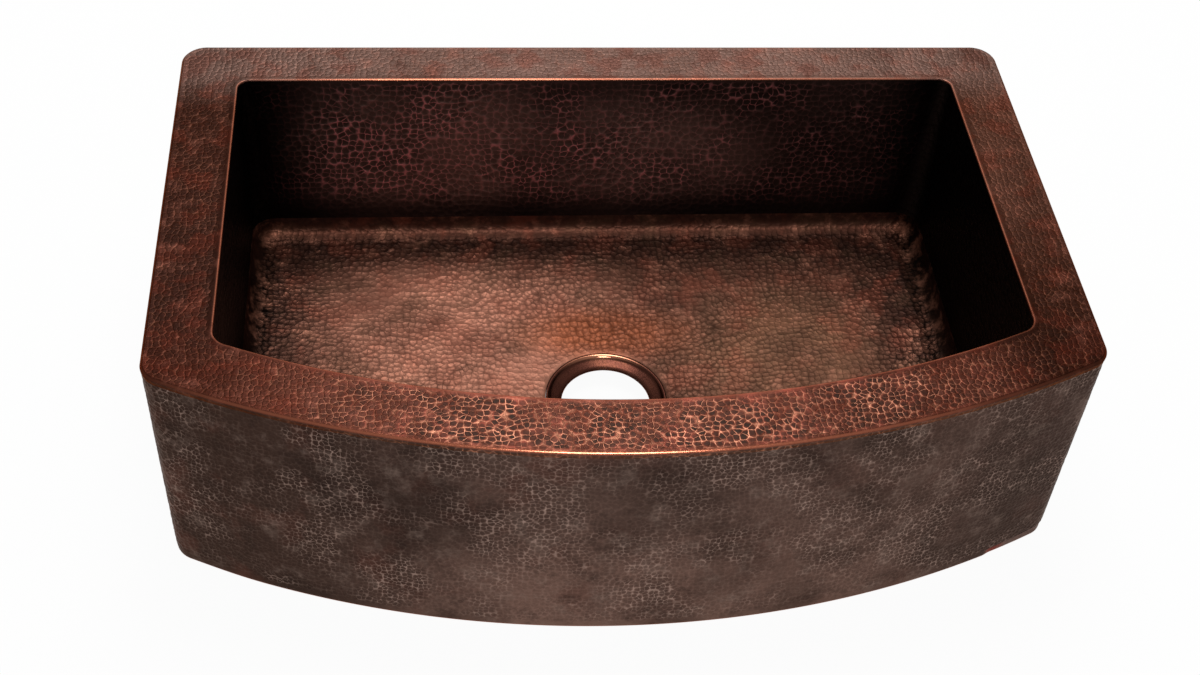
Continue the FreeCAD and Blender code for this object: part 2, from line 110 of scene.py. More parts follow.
# the apron, its turned-in hem and the returns along its sides
APRON_INSET = 0.5
APRON_HALF = HALF_WIDTH - APRON_INSET
APRON_BOW = BOW_RADIUS - APRON_INSET
APRON_CORNER = RIM_CORNER - APRON_INSET
APRON_TOP = RIM_TOP - RIM_DROP
FINE_BELOW = 17.0  # the height below which the apron's rows lie closer
HEM = 8.0
HEM_ROUND = 3.0
HEM_WIDTH = 26.0
FOLD_X = (355, 415)  # the hem's fold shows between these, and rises from one height to the other
FOLD_START = 10.0
FOLD_END = 13.5
RETURN_START = -161.93
RETURN_END = 18.07
RETURN_CORNER = 30.0

# the blows: their spacing and depth, how far noise bends their pattern, and the squared distance
# from a blow's middle, in cells, at which it has run out
CELL = 5.7
DEPTH = 0.4
WOBBLE = 3.2
BLOW_LEVELS = 0.34
# how closely they lie on each group of sheets, as a scale of its hammer coordinates
WALL_BLOWS = 0.8
FLOOR_BLOWS = 0.92
APRON_BLOWS = 1.2
# each group has a stretch of the pattern of its own
RIM_SEED, WALL_SEED, FRONT_WALL_SEED, FLOOR_SEED, APRON_SEED = 1.0, 2.0, 3.0, 4.0, 5.0
SEED_STEP = 700.0

# ---------------- plan outlines


def bow_corner(half, bow, radius):
    """Centre of the round between a straight side and the bow, and the bow's angle there."""
    x = half - radius
    y = BOW_Y - math.sqrt((bow - radius) ** 2 - x * x)
    return x, y, math.asin(x / (bow - radius))


def arc(cx, cy, radius, start, stop, count):
    """Points and outward normals along an arc, by its angles from +X."""
    angle = np.linspace(start, stop, count)
    normal = np.stack([np.cos(angle), np.sin(angle)], 1)
    return np.array([cx, cy]) + radius * normal, normal


def line(start, stop, normal, count):
    """Points along a straight stretch, with one normal for them all."""
    share = np.linspace(0, 1, count)[:, None]
    points = np.array(start) * (1 - share) + np.array(stop) * share
    return points, np.tile(np.array(normal, float), (count, 1))


def chain(*parts):
    """Several stretches of outline end to end, without the repeated points."""
    points = [parts[0][0]] + [p[0][1:] for p in parts[1:]]
    normals = [parts[0][1]] + [p[1][1:] for p in parts[1:]]
    return np.concatenate(points), np.concatenate(normals)


def backwards(outline):
    points, normals = outline
    return points[::-1], normals[::-1]


def mirrored(outline):
    """The same outline on the sink's other side, run the other way."""
    points, normals = backwards(outline)
    flip = np.array([-1.0, 1.0])
    return points * flip, normals * flip


def bow_arc(bow, start, stop, count):
    """An arc of the bow between two angles from straight ahead, positive to the right."""
    return arc(0, BOW_Y, bow, start - math.pi / 2, stop - math.pi / 2, count)


def right_bend(half, bow, radius, count):
    """The corner from the right side round to the bow."""
    x, y, angle = bow_corner(half, bow, radius)
    return arc(x, y, radius, 0, angle - math.pi / 2, count)


def lengths(points):
    """How far along an outline each of its points lies."""
    return np.concatenate([[0], np.cumsum(np.linalg.norm(np.diff(points, axis=0), axis=1))])


# ---------------- meshes


def strips(sections, columns, around):
    """Quads between neighbouring sections, each a closed loop of points, by number of point."""
    first = np.arange(sections if around else sections - 1)
    r, c = np.meshgrid(first, np.arange(columns), indexing="ij")
    r2, c2 = (r + 1) % sections, (c + 1) % columns
    quads = np.stack([r * columns + c, r2 * columns + c, r2 * columns + c2, r * columns + c2], -1)
    return quads.reshape(-1, 4)


def added(name, data):
    """A new object in the scene."""
    made = bpy.data.objects.new(name, data)
    bpy.context.scene.collection.objects.link(made)
    return made


def loft(name, points, hammer, relief=None, polish_and_sheen=None, inward=None, around=False, turned=False):
    """A closed skin through cross-sections: points is sections x points x 3, and each section is
    a closed loop. Ends get a flat cap unless the sections run all the way round. Every point keeps
    its place in the hammer pattern, how deep the blows go, how bare the metal is and where sheen
    and highlights are painted, which way a blow pushes, and what isn't given is 0."""
    sections, columns = points.shape[:2]
    faces = [tuple(quad) for quad in strips(sections, columns, around).tolist()]
    if not around:
        faces.append(tuple(range(columns))[::-1])
        faces.append(tuple((sections - 1) * columns + column for column in range(columns)))
    if turned:
        faces = [face[::-1] for face in faces]
    mesh = bpy.data.meshes.new(name)
    mesh.from_pydata((points.reshape(-1, 3) * MM).tolist(), [], faces)
    none = np.zeros(points.shape[:2])
    for label, kind, data in (
        ("hammer", "FLOAT_VECTOR", hammer * MM),
        ("inward", "FLOAT_VECTOR", np.zeros_like(points) if inward is None else inward),
        ("relief", "FLOAT", none if relief is None else relief),
        ("polish_and_sheen", "FLOAT", none if polish_and_sheen is None else polish_and_sheen),
    ):
        attribute = mesh.attributes.new(label, kind, "POINT")
        attribute.data.foreach_set(
            "vector" if kind == "FLOAT_VECTOR" else "value",
            np.ascontiguousarray(data, dtype=np.float32).ravel(),
        )
    mesh.shade_smooth()
    mesh.set_sharp_from_angle(angle=math.radians(60))
    return added(name, mesh)


def fade(distance, width):
    """0 at an edge to 1 at the given distance from it."""
    share = np.clip(distance / width, 0, 1)
    return share * share * (3 - 2 * share)


def strayed(u, v, seed):
    """Hammer coordinates that wander a little, so that the blows vary in size and direction."""
    # slow waves of about 2 mm along each axis, and quick ones of under 1 mm
    slow_u = 2.1 * np.sin(u / 31 + seed) * np.cos(v / 23 - 1.7 * seed)
    slow_v = 1.9 * np.cos(u / 27 - 0.6 * seed) * np.sin(v / 35 + seed)
    quick_u = 0.8 * np.sin(u / 9.5 + v / 13 + seed)
    quick_v = 0.8 * np.cos(v / 8.3 - u / 14 + seed)
    away = SEED_STEP * seed
    level = np.zeros(np.broadcast(u, v).shape)
    return np.stack([u + slow_u + quick_u + away, v + slow_v + quick_v + away, level], -1)


def force(u, v, seed):
    """How hard the blows landed, which changes from place to place."""
    wide = np.sin(u / 43 + 2.3 * seed) * np.cos(v / 31 - seed)
    close = np.sin(u / 17 - v / 21 + seed)
    return np.clip(0.8 + 0.24 * wide + 0.12 * close, 0.3, 1)


def loop_of(face, back):
    """Joins a fine visible face and a coarse back face, both sections x rows, into loops."""
    return np.concatenate([face, back[:, ::-1]], axis=1)


def sheet_of(face, away):
    """Closes a fine upright face with a plain back face, one gauge away from it in plan."""
    rows = [0, face.shape[1] // 2, -1]
    away = np.broadcast_to(away, face[..., :2].shape)
    back = face[:, rows].copy()
    back[..., :2] += GAUGE * away[:, rows]
    return loop_of(face, back)


# ---------------- rim

# what a row of points across the rim is measured from
AT_OPENING, AT_EDGE, BETWEEN = range(3)


def opening_wear_and_highlight(points):
    """How bare the metal is along the opening's edge, which also paints a highlight where the light
    falls: most on the left half of the back.
    """
    x, y = points[:, 0], points[:, 1]
    back = np.interp(x, (-361, -300, -225, -60, 0, 290, 340), (0.1, 0.35, 1, 1, 0.6, 0.6, 0.1))
    front = np.interp(x, (-361, -250, 0, 250, 361), (0.2, 0.42, 0.4, 0.42, 0.15))
    sides = np.where(x < 0, 0.3, 0.24)
    return np.where(y > OPEN_BACK - 2, back, np.where(y < SEAM_Y, front, sides))


def nose_wear_and_highlight(points):
    """How bare the metal is along the rim's outer edge, which also paints a highlight where the
    light falls: most at the middle of the bow.
    """
    x, y = points[:, 0], points[:, 1]
    front = np.interp(
        x, (-419, -350, -230, -130, -90, 50, 110, 240, 300, 419),
        (0.06, 0.35, 0.6, 0.7, 1, 1, 0.75, 0.5, 0.2, 0.06),
    )
    return np.where(y < SEAM_Y, front, 0.06)


def rim_profile(top_count):
    """The rows of points across a strip of the rim, from the opening's underside over the top,
    round the nose and back underneath: what a row is measured from, how far off it lies, its
    height, how it shines and how deep the blows go. Between opening and edge, how far is a share
    of the way."""
    rows = [(AT_OPENING, 0, RIM_UNDERSIDE, 0.1, 0)]
    # round the opening's lip the rows get bare copper: worn metal, and a painted highlight where
    # the light falls
    for step, shine in enumerate((0.4, 1, 1, 1, 0.4)):
        turn = math.radians(22.5 * step)
        drop = LIP_ROUND * (1 - math.sin(turn))
        rows.append((AT_OPENING, LIP_ROUND * (1 - math.cos(turn)), RIM_TOP - drop, shine, 0))
    rows.append((AT_OPENING, LIP_ROUND + 1, RIM_TOP, 0, 0))
    for step in range(top_count):
        share = step / (top_count - 1)
        depth = min(1, 0.2 + 16 * share, 0.5 + 25 * (1 - share))
        rows.append((BETWEEN, share, RIM_TOP, 0, depth))
    rows.append((AT_EDGE, RIM_ROUND + 0.4, RIM_TOP, 0, 0.5))
    # the nose is hammered flatter than a true round, so that its middle catches the light; the bare
    # copper along that middle is worn metal and a painted highlight
    for step, shine in enumerate((0, 0, 0.25, 1, 1, 1, 0.25, 0, 0)):
        turn = math.radians(11.25 * step)
        inset = RIM_ROUND * (1 - math.sin(turn) ** NOSE_FLAT)
        drop = RIM_ROUND * (1 - math.cos(turn) ** NOSE_FLAT)
        rows.append((AT_EDGE, inset, RIM_TOP - drop, shine, 0 if shine else 0.3))
    # the edge leans in by the apron's inset, so that the two sheets meet flush
    rows += [
        (AT_EDGE, 0.2, APRON_TOP + 2, 0, 0.6), (AT_EDGE, APRON_INSET, APRON_TOP + 0.1, 0, 0.6),
        (AT_EDGE, GAUGE - 0.4, APRON_TOP, 0, 0), (AT_EDGE, GAUGE, APRON_TOP + 0.4, 0, 0),
        (AT_EDGE, GAUGE, RIM_UNDERSIDE - 1, 0, 0), (AT_EDGE, GAUGE + 1, RIM_UNDERSIDE, 0, 0),
    ]
    rows += [(BETWEEN, share, RIM_UNDERSIDE, 0, 0) for share in (0.8, 0.6, 0.4, 0.2)]
    return rows


def rim_piece(name, inner, outer, top_count):
    """A strip of the rim, with its sections across it from the opening to the outer edge."""
    opening, opening_normal = inner
    edge, edge_normal = outer
    across = edge - opening
    across = across / np.linalg.norm(across, axis=1, keepdims=True)
    # a section that runs aslant is stretched, so that its rounds keep their width
    slant_in = np.clip(np.abs((across * opening_normal).sum(1, keepdims=True)), LEAST_SLANT, 1)
    slant_out = np.clip(np.abs((across * edge_normal).sum(1, keepdims=True)), LEAST_SLANT, 1)
    start = opening + across * (LIP_ROUND + 2.2) / slant_in
    stop = edge - across * (RIM_ROUND + 1.6) / slant_out
    profile = rim_profile(top_count)
    points = np.zeros((len(edge), len(profile), 3))
    unrolled = np.zeros((len(edge), len(profile), 2))
    for column, (origin, distance, z, _, _) in enumerate(profile):
        if origin == AT_OPENING:
            plan = opening + across * distance / slant_in
        elif origin == AT_EDGE:
            plan = edge - across * distance / slant_out
        else:
            plan = start * (1 - distance) + stop * distance
        points[:, column, :2] = plan
        points[:, column, 2] = z
        # the blows run on over the nose and down the edge
        unrolled[:, column] = plan + edge_normal * (RIM_TOP - z) if origin == AT_EDGE else plan
    origins, _, _, polish_and_sheen, relief = np.array(profile, float).T
    wear = np.where(origins == AT_OPENING, opening_wear_and_highlight(opening)[:, None], nose_wear_and_highlight(edge)[:, None])
    return loft(
        name, points, strayed(unrolled[..., 0], unrolled[..., 1], RIM_SEED),
        np.tile(relief, (len(edge), 1)), polish_and_sheen * wear,
        np.broadcast_to((0.0, 0.0, -1.0), points.shape), turned=True,
    )


def rim_front():
    """The front strip: side stub, corner and bow, from the right seam to the left one."""
    def outline(half, bow, radius):
        _, corner_y, angle = bow_corner(half, bow, radius)
        right = chain(
            line((half, SEAM_Y), (half, corner_y), (1, 0), 34),
            right_bend(half, bow, radius, 26),
            bow_arc(bow, angle, 0, 270),
        )
        return chain(right, mirrored(right))

    inner = outline(OPEN_HALF, OPEN_BOW, CORNER_FRONT_TOP)
    return rim_piece("rim_front_skin", inner, outline(HALF_WIDTH, BOW_RADIUS, RIM_CORNER), 42)


def rim_sides():
    """The right and left strips, with sections straight across, from back seam to front seam."""
    bend_x, bend_y = OPEN_HALF - CORNER_BACK_TOP, OPEN_BACK - CORNER_BACK_TOP
    inner = chain(
        arc(bend_x, bend_y, CORNER_BACK_TOP, math.pi / 2, 0, 14),
        line((OPEN_HALF, bend_y), (OPEN_HALF, SEAM_Y), (1, 0), 190),
    )
    y = inner[0][:, 1]
    outer = np.column_stack([np.full(len(y), HALF_WIDTH), y]), np.tile((1.0, 0.0), (len(y), 1))
    return (
        rim_piece("rim_right_skin", inner, outer, 34),
        rim_piece("rim_left_skin", mirrored(inner), mirrored(outer), 34),
    )


def rim_back():
    """The back strip turns both outer corners, so its sections fan out at the opening's ends."""
    corner_x, corner_y = HALF_WIDTH - RIM_CORNER, BACK_EDGE - RIM_CORNER
    bend_count, stub_count = 22, 18
    outer = chain(
        line((0, BACK_EDGE), (corner_x, BACK_EDGE), (0, 1), 200),
        arc(corner_x, corner_y, RIM_CORNER, math.pi / 2, 0, bend_count),
        line((HALF_WIDTH, corner_y), (HALF_WIDTH, OPEN_BACK), (1, 0), stub_count),
    )
    # the sections that reach the bend and the stub all start in the last few millimetres
    count, fan = len(outer[0]), bend_count + stub_count - 1
    end = OPEN_HALF - CORNER_BACK_TOP
    x = np.concatenate([
        np.linspace(0, end - FAN_WIDTH, count - fan),
        np.linspace(end - FAN_WIDTH, end, fan + 1)[1:],
    ])
    inner = np.column_stack([x, np.full(count, OPEN_BACK)]), np.tile((0.0, 1.0), (count, 1))
    inner, outer = chain(mirrored(inner), inner), chain(mirrored(outer), outer)
    return rim_piece("rim_back_skin", inner, outer, 34)


def rim_pieces():
    front, (right, left), back = rim_front(), rim_sides(), rim_back()
    return {"rim_front": front, "rim_right": right, "rim_left": left, "rim_back": back}


# ---------------- bowl walls


def wall_piece(name, outline_at, run, seed, shine=None):
    """An upright sheet whose fine hammered face looks into the bowl. outline_at gives its plan at
    a height, and run how far along the bowl each point of the plan lies."""
    heights = np.linspace(PAN_TOP, RIM_UNDERSIDE, 84)
    fine = len(heights)
    outlines = [outline_at(z) for z in heights]
    plan = np.stack([points for points, _ in outlines], 1)
    normals = np.stack([normal for _, normal in outlines], 1)
    face = np.dstack([plan, np.broadcast_to(heights, plan.shape[:2])])
    points = sheet_of(face, normals)
    z = points[..., 2]
    u = np.tile(run[:, None], (1, points.shape[1]))
    relief = np.zeros(points.shape[:2])
    relief[:, :fine] = fade(RIM_UNDERSIDE - heights, 6) * fade(heights - PAN_TOP + 3, 3)
    relief *= force(u, z, seed)
    polish_and_sheen = np.zeros(points.shape[:2])
    if shine is not None:
        polish_and_sheen[:, :fine] = shine[:, None]
    inward = np.zeros_like(points)
    inward[:, :fine, :2] = normals
    return loft(name, points, strayed(u * WALL_BLOWS, z * WALL_BLOWS, seed), relief, polish_and_sheen, inward)


def wall_corner(z, top):
    """The radius of a bowl corner at a height: top under the rim, and wider towards the floor."""
    return CORNER_LOW + (top - CORNER_LOW) * (z - PAN_TOP) / (RIM_UNDERSIDE - PAN_TOP)


def right_side_outline(z):
    """From the back seam round the back corner, down the side and round to the front seam."""
    back, front = wall_corner(z, CORNER_BACK_TOP), wall_corner(z, CORNER_FRONT_TOP)
    _, y, angle = bow_corner(OPEN_HALF, OPEN_BOW, front)
    return chain(
        line((SEAM_X, OPEN_BACK), (OPEN_HALF - back, OPEN_BACK), (0, 1), 10),
        arc(OPEN_HALF - back, OPEN_BACK - back, back, math.pi / 2, 0, 14),
        line((OPEN_HALF, OPEN_BACK - back), (OPEN_HALF, y), (1, 0), 140),
        right_bend(OPEN_HALF, OPEN_BOW, front, 14),
        bow_arc(OPEN_BOW, angle, SEAM_ANGLE, 10),
    )


def wall_pieces():
    middle, corner_section, corner_reach = 150, 15, 4.0
    run = SEAM_X + lengths(right_side_outline(middle)[0])
    # a faint painted sheen down the right wall's back corner, in the polish colour
    shine = 0.04 * np.exp(-((np.arange(len(run)) - corner_section) / corner_reach) ** 2)
    back = line((-SEAM_X, OPEN_BACK), (SEAM_X, OPEN_BACK), (0, 1), 320)
    front = bow_arc(OPEN_BOW, SEAM_ANGLE, -SEAM_ANGLE, 330)
    return {
        "bowl_right_wall": wall_piece("right_wall_skin", right_side_outline, run, WALL_SEED, shine),
        "bowl_left_wall": wall_piece(
            "left_wall_skin", lambda z: mirrored(right_side_outline(z)), -run[::-1], WALL_SEED,
        ),
        "bowl_back_wall": wall_piece("back_wall_skin", lambda z: back, back[0][:, 0], WALL_SEED),
        "bowl_front_wall": wall_piece(
            "front_wall_skin", lambda z: front,
            OPEN_BOW * np.linspace(SEAM_ANGLE, -SEAM_ANGLE, 330), FRONT_WALL_SEED,
        ),
    }


# ---------------- floor pan


def slope_level(x, y):
    """The floor's fall inside the cove: planes from each side and a cone in front, to the seat."""
    foot_half, foot_back, foot_bow = OPEN_HALF - COVE, OPEN_BACK - COVE, OPEN_BOW - COVE
    up = 1 - np.minimum.reduce([
        (foot_half - np.abs(x)) / (foot_half - SEAT_HALF),
        (foot_back - y) / (foot_back - SEAT_BACK),
        (foot_bow - np.hypot(x, y - BOW_Y)) / (foot_bow - SEAT_BOW),
    ])
    up = 0.5 * (up + np.sqrt(up * up + SEAT_EASE * SEAT_EASE))
    return SEAT_LEVEL + (FLOOR_LEVEL - SEAT_LEVEL) * np.clip(up, 0, 1)


def pan_outline():
    """The walls' inside at the pan's top, all the way round from the middle of the front."""
    _, y, angle = bow_corner(OPEN_HALF, OPEN_BOW, CORNER_LOW)
    half = chain(
        bow_arc(OPEN_BOW, 0, angle, 150),
        backwards(right_bend(OPEN_HALF, OPEN_BOW, CORNER_LOW, 15)),
        line((OPEN_HALF, y), (OPEN_HALF, OPEN_BACK - CORNER_LOW), (1, 0), 138),
        arc(OPEN_HALF - CORNER_LOW, OPEN_BACK - CORNER_LOW, CORNER_LOW, 0, math.pi / 2, 15),
        line((OPEN_HALF - CORNER_LOW, OPEN_BACK), (0, OPEN_BACK), (0, 1), 140),
    )
    points, normals = chain(half, mirrored(half))
    return points[:-1], normals[:-1]


def pan_face(foot, normal):
    """The pan's visible face, in rows from the collar outwards: the lip round the drain, the
    falling floor, the cove and the short upright that meets the walls."""
    angle = np.unwrap(np.arctan2(foot[:, 1] - DRAIN_Y, foot[:, 0]))
    out = np.stack([np.cos(angle), np.sin(angle)], 1)
    drain = np.array([0, DRAIN_Y])
    ring = drain + (COLLAR_RADIUS + LIP_GAP) * out
    share = np.linspace(0, 1, FLOOR_ROWS)[:, None]
    plan = ring[:, None] * (1 - share) + foot[:, None] * share
    falling = np.dstack([plan, slope_level(plan[..., 0], plan[..., 1])])
    top = np.column_stack([drain + COLLAR_RADIUS * out, falling[:, 0, 2] - LIP_ROLL])
    rise = [
        np.column_stack([
            foot + normal * COVE * math.sin(turn), falling[:, -1, 2] + COVE * (1 - math.cos(turn)),
        ]) for turn in COVE_TURNS
    ]
    wall = foot + COVE * normal
    rise += [np.column_stack([wall, np.full(len(wall), level)]) for level in PAN_UPRIGHT]
    lip = np.stack([top - (0, 0, GAUGE - LIP_ROLL), top], 1)
    return np.concatenate([lip, falling, np.stack(rise, 1)], axis=1)


def floor_piece():
    """The pan, which is hammered all over and worked smoother in the cove."""
    wall, normal = pan_outline()
    foot = wall - COVE * normal
    face = pan_face(foot, normal)
    fine, cove = face.shape[1], LIP_ROWS + FLOOR_ROWS
    # how far each row has turned from level to upright
    tilt = np.concatenate([np.zeros(cove), COVE_TURNS, np.full(len(PAN_UPRIGHT), math.pi / 2)])
    # the underside has fewer rows and is offset by the sheet's thickness
    keep = [*range(LIP_ROWS, cove, 9), *range(cove, fine, 3), fine - 1]
    back = face[:, keep].copy()
    back[..., :2] += GAUGE * np.sin(tilt[keep])[:, None] * normal[:, None]
    back[..., 2] -= GAUGE * np.cos(tilt[keep])
    points = loop_of(face, back)
    # plan coordinates unrolled up the cove, so that the blows run on over it
    unrolled = points[..., :2].copy()
    up = np.concatenate([
        COVE * COVE_TURNS, COVE * math.pi / 2 + np.array(PAN_UPRIGHT) - (FLOOR_LEVEL + COVE),
    ])
    unrolled[:, cove:fine] = foot[:, None] + normal[:, None] * up[:, None]
    u, v = unrolled[..., 0] * FLOOR_BLOWS, unrolled[..., 1] * FLOOR_BLOWS
    relief = np.zeros(points.shape[:2])
    hammered_rows = points[:, LIP_ROWS:fine]
    from_drain = np.hypot(hammered_rows[..., 0], hammered_rows[..., 1] - DRAIN_Y) - COLLAR_RADIUS
    relief[:, LIP_ROWS:fine] = fade(from_drain - 1, 6)
    relief *= force(u, v, FLOOR_SEED)
    # the cove is left rougher at the back, and a faint painted sheen runs along its middle there
    row = np.arange(fine - cove)
    at_back = fade(normal[:, 1:] - 0.3, 0.6)
    relief[:, cove:fine] *= 1 - (0.92 - 0.32 * at_back) * fade(row, 5)
    polish_and_sheen = np.zeros(points.shape[:2])
    polish_and_sheen[:, cove:fine] = 0.1 * np.exp(-((row - 5.5) / 3.2) ** 2) * at_back
    inward = np.zeros_like(points)
    inward[:, LIP_ROWS:fine, :2] = normal[:, None] * np.sin(tilt[LIP_ROWS:])[:, None]
    inward[:, LIP_ROWS:fine, 2] = -np.cos(tilt[LIP_ROWS:])
    hammer = strayed(u, v, FLOOR_SEED)
    return loft("floor_skin", points, hammer, relief, polish_and_sheen, inward, around=True, turned=True)


# ---------------- drain collar


def collar_profile():
    """The ring's section as radius and height, from the lip over the seat to the open hole and
    back underneath."""
    lip, hole, level = COLLAR_RADIUS - 0.15, DRAIN_RADIUS, SEAT_LEVEL
    profile = [
        (lip, level - 1.9), (lip, level - 0.5), (lip - 0.25, level - 0.12), (lip - 0.8, level),
    ]
    # a round shoulder and a hollow run on into the seat's gentle slope
    steep, gentle, shoulder, hollow = 50, 12, 3.4, 6.0
    for degrees in range(10, steep + 1, 10):
        turn = math.radians(degrees)
        profile.append((
            lip - 0.8 - shoulder * math.sin(turn), level - shoulder * (1 - math.cos(turn)),
        ))
    radius, height = profile[-1]
    top = math.radians(steep)
    for degrees in (40, 30, 20, gentle):
        turn = math.radians(degrees)
        profile.append((
            radius - hollow * (math.sin(top) - math.sin(turn)),
            height - hollow * (math.cos(turn) - math.cos(top)),
        ))
    profile += [
        (lip - 9.5, level - 4.2), (lip - 12.0, level - 4.9), (hole + 1.2, level - 5.9),
        (hole + 0.4, level - 6.5), (hole, level - 7.3), (hole, level - 8.2),
        (hole + 0.6, level - 8.5), (lip - 9.0, level - 6.95), (lip - 4.4, level - 6.1),
        (lip - 2.2, level - 4.6), (lip - 0.9, level - 2.3),
    ]
    return np.array(profile)


def collar_piece():
    """A smooth spun ring, with a painted highlight at its back where the light falls."""
    radii, levels = collar_profile().T
    angle = np.linspace(0, 2 * math.pi, 180, endpoint=False)[:, None]
    points = np.dstack([
        np.cos(angle) * radii, np.sin(angle) * radii + DRAIN_Y,
        np.broadcast_to(levels, (len(angle), len(levels))),
    ])
    at_back = np.clip(np.sin(angle), 0, 1)
    polish_and_sheen = np.zeros(points.shape[:2])
    # the back's bare copper is a painted highlight: on the shoulder, and as a faint streak down the
    # seat
    polish_and_sheen[:, 2:9] = at_back ** 8
    polish_and_sheen[:, 9:11] = 0.4 * at_back ** 40
    return loft("collar_skin", points, points, polish_and_sheen=polish_and_sheen, around=True, turned=True)


# ---------------- apron


def apron_outline(inset=0.0):
    """The apron's plan from the right side round the bow to the left side, drawn in by an inset."""
    half, bow, radius = APRON_HALF - inset, APRON_BOW - inset, max(APRON_CORNER - inset, 4.0)
    _, _, angle = bow_corner(half, bow, radius)
    bend = right_bend(half, bow, radius, 24)
    return chain(bend, bow_arc(bow, angle, -angle, 430), mirrored(bend))


def settled(points):
    """The apron's left end leans in towards its foot, as the sheet was left by hand."""
    lean, toe, toe_height = 2.6, 1.2, 9
    end = fade(-points[..., 0] - 330, 80)
    height = points[..., 2]
    points[..., 0] += end * (lean * (1 - height / APRON_TOP) + toe * np.exp(-height / toe_height))
    return points


def tuck(x):
    """How far the flange and the band above it sit back, at the right corner alone."""
    depth, start, width = 1.1, 350, 8
    return depth * fade(x - start, width)


def apron_piece():
    """The front panel, and how far along it from its middle its ends are."""
    plan, normals = apron_outline()
    heights = np.concatenate([
        np.linspace(HEM, FINE_BELOW, 11)[:-1], np.linspace(FINE_BELOW, APRON_TOP, 104),
    ])
    fine = len(heights)
    face = np.zeros((len(plan), fine, 3))
    face[..., :2] = plan[:, None]
    face[..., 2] = heights
    # the fold shows as a step that rises a little towards the corner
    fold = np.interp(plan[:, 0], FOLD_X, (FOLD_START, FOLD_END))
    step = tuck(plan[:, 0])[:, None] * fade(fold[:, None] + 0.7 - heights, 1.4)
    face[..., :2] -= step[..., None] * normals[:, None]
    points = settled(sheet_of(face, -normals[:, None]))
    run = lengths(plan)
    run = run - run[-1] / 2
    u = np.tile(run[:, None], (1, points.shape[1])) * APRON_BLOWS
    relief = np.zeros(points.shape[:2])
    relief[:, :fine] = fade(points[:, :fine, 2] - HEM, 5)
    relief *= force(u, points[..., 2], APRON_SEED)
    inward = np.zeros_like(points)
    inward[:, :fine, :2] = -normals[:, None]
    hammer = strayed(u, points[..., 2] * APRON_BLOWS, APRON_SEED)
    piece = loft("apron_front_skin", points, hammer, relief, inward=inward, turned=True)
    return piece, run[-1]


def hem_profile():
    """The hem's section as inset and height: down from the panel, round, inwards and back."""
    profile = [(0, HEM), (0, HEM - 1)]
    for step in range(7):
        turn = math.radians(15 * step)
        profile.append((HEM_ROUND * (1 - math.cos(turn)), HEM_ROUND * (1 - math.sin(turn))))
    profile += [(inset, 0) for inset in (10.0, 16.0, 21.0)]
    profile += [
        (HEM_WIDTH - 0.6, 0), (HEM_WIDTH, 0.6), (HEM_WIDTH, GAUGE - 0.6), (HEM_WIDTH - 0.6, GAUGE),
        (16.0, GAUGE), (HEM_ROUND, GAUGE),
    ]
    inner = HEM_ROUND - GAUGE
    for degrees in (30, 60, 90):
        turn = math.radians(degrees)
        profile.append((
            HEM_ROUND - inner * math.sin(turn), HEM_ROUND - inner * math.cos(turn),
        ))
    return np.array(profile + [(GAUGE, HEM)])


def hem_piece():
    """The apron's lower edge, which is turned in and shines along its round."""
    plan, normals = apron_outline()
    insets, levels = hem_profile().T
    points = np.zeros((len(plan), len(insets), 3))
    for column, inset in enumerate(insets):
        points[:, column, :2] = apron_outline(inset)[0]
    points[..., 2] = levels
    points[..., :2] -= tuck(plan[:, 0])[:, None, None] * normals[:, None]
    points = settled(points)
    run = lengths(plan)
    hammer = strayed(
        np.tile((run - run[-1] / 2)[:, None], (1, len(insets))) * APRON_BLOWS,
        np.tile(levels - insets, (len(plan), 1)) * APRON_BLOWS, APRON_SEED,
    )
    shine = np.where((insets > 0) & (insets < HEM_ROUND), 0.6, 0.0)
    return loft("apron_hem_skin", points, hammer, polish_and_sheen=np.tile(shine, (len(plan), 1)))


def return_piece(name, side, run_end):
    """A flat side wing with its lower rear corner rounded. side is 1 on the right, -1 on the left,
    and run_end is where the front panel's blows leave off."""
    bend = RETURN_END - RETURN_CORNER
    y = np.concatenate([
        np.linspace(RETURN_START, bend, 76),
        bend + RETURN_CORNER * np.sin(np.radians(np.linspace(0, 88, 16)[1:])),
    ])
    past = np.maximum(y - bend, 0)
    low = RETURN_CORNER - np.sqrt(RETURN_CORNER ** 2 - past ** 2)
    share = np.linspace(0, 1, 112)
    fine = len(share)
    face = np.zeros((len(y), fine, 3))
    face[..., 0] = APRON_HALF
    face[..., 1] = y[:, None]
    face[..., 2] = low[:, None] * (1 - share) + APRON_TOP * share
    points = sheet_of(face, (-1.0, 0.0))
    points[..., 0] *= side
    points = settled(points)
    u = side * (run_end + points[..., 1] - RETURN_START)
    hammer = strayed(u * APRON_BLOWS, points[..., 2] * APRON_BLOWS, APRON_SEED)
    relief = np.zeros(points.shape[:2])
    relief[:, :fine] = 1
    inward = np.zeros_like(points)
    inward[:, :fine, 0] = -side
    return loft(name, points, hammer, relief, inward=inward, turned=side < 0)


def apron_pieces():
    front, run_end = apron_piece()
    return {
        "apron_front": front,
        "apron_bottom_hem": hem_piece(),
        "apron_right_return": return_piece("right_return_skin", 1, run_end),
        "apron_left_return": return_piece("left_return_skin", -1, run_end),
    }


# ---------------- hammering


class Wiring:
    """A small helper for wiring one tree of nodes."""

    def __init__(self, tree):
        self.nodes, self.links = tree.nodes, tree.links

    def feed(self, socket, source):
        """Links a socket to another one, or sets its value."""
        if isinstance(source, bpy.types.NodeSocket):
            self.links.new(source, socket)
        else:
            socket.default_value = source

    def node(self, kind, inputs=None, **settings):
        """A new node with its settings, and with what its inputs get by name or number."""
        made = self.nodes.new(kind)
        for key, setting in settings.items():
            setattr(made, key, setting)
        for key, source in (inputs or {}).items():
            self.feed(made.inputs[key], source)
        return made

    def math(self, operation, first, second=0.5):
        return self.node("ShaderNodeMath", {0: first, 1: second}, operation=operation).outputs[0]


